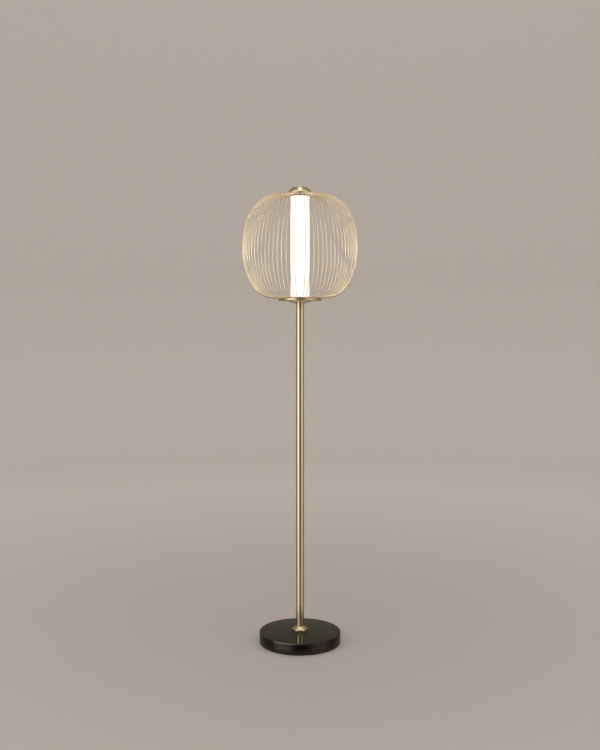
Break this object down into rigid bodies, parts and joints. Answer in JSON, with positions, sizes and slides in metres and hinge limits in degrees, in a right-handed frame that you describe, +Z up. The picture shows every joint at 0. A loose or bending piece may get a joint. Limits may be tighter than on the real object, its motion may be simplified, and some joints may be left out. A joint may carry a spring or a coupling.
{
  "type": "floor lamp",
  "caption": "Floor lamp: round black stone foot, slim champagne-gold pole, and a barrel-shaped cage of thin wires round an upright glowing opal tube, with a cone-shaped cap.",
  "frame": {"origin": "on the floor, under the pole's axis, at the underside of the soft ring", "axes": "+Z up along the pole; the front of the lamp faces -Y and the cord entry faces +Y; +X is the viewer's right when looking at the front"},
  "size_m": [0.3652, 0.3652, 1.45],
  "materials": {
    "stone": "polished",
    "rubber": "matte",
    "zinc_steel": "zinc plated",
    "brass_hardware": "turned",
    "black_plastic": "matte",
    "white_plastic": "matte",
    "white_rubber": "matte",
    "champagne_collar": "satin, lacquered",
    "champagne_pole": "satin, lacquered",
    "champagne_dish": "satin, lacquered",
    "champagne_ring": "satin, lacquered",
    "champagne_wire": "satin, lacquered",
    "champagne_cap": "satin, lacquered",
    "opal": "opal, satin",
    "raw_aluminium": "extruded",
    "strip_white": "matte",
    "driver_white": "matte",
    "lead_white": "satin"
  },
  "bodies": {
    "stand": {"base_disc": "stone", "anti_slip_ring": "rubber", "base_plate": "zinc_steel", "cover_inserts": "brass_hardware", "cover_screws": "zinc_steel", "cord_bush": "black_plastic", "tie_tube": "zinc_steel", "clamp_washer": "zinc_steel", "spring_washer": "zinc_steel", "tie_nut": "zinc_steel", "hex_collar": "champagne_collar", "pole_tube": "champagne_pole", "pole_foot_insert": "zinc_steel", "pole_head_insert": "zinc_steel", "dish_hub": "champagne_dish", "lower_dish": "champagne_dish", "centre_rod": "zinc_steel", "dish_nut": "zinc_steel", "lower_tube_holder": "white_plastic", "lower_gasket": "white_rubber", "diffuser_tube": "opal", "upper_gasket": "white_rubber", "upper_tube_holder": "white_plastic", "led_core": "raw_aluminium", "led_strips": "strip_white", "strip_connector": "white_plastic", "head_washer": "zinc_steel", "head_nut": "zinc_steel", "led_driver": "driver_white", "driver_screws": "zinc_steel", "terminal_block": "white_plastic", "earth_screw": "brass_hardware", "inner_lead": "lead_white"},
    "shade": {"cage_bottom_ring": "champagne_ring", "cage_wires_back": "champagne_wire", "cage_wires_front": "champagne_wire", "cage_top_ring": "champagne_ring"},
    "cap": {"top_cap": "champagne_cap", "cap_insert": "brass_hardware"}
  },
  "joints": [
    {"name": "shade_lift", "type": "slide", "parent": "stand", "child": "shade", "axis": [0, 0, 1], "range_m": [0, 0.345]},
    {"name": "cap_lift", "type": "slide", "parent": "shade", "child": "cap", "axis": [0, 0, 1], "range_m": [0, 0.016]}
  ]
}
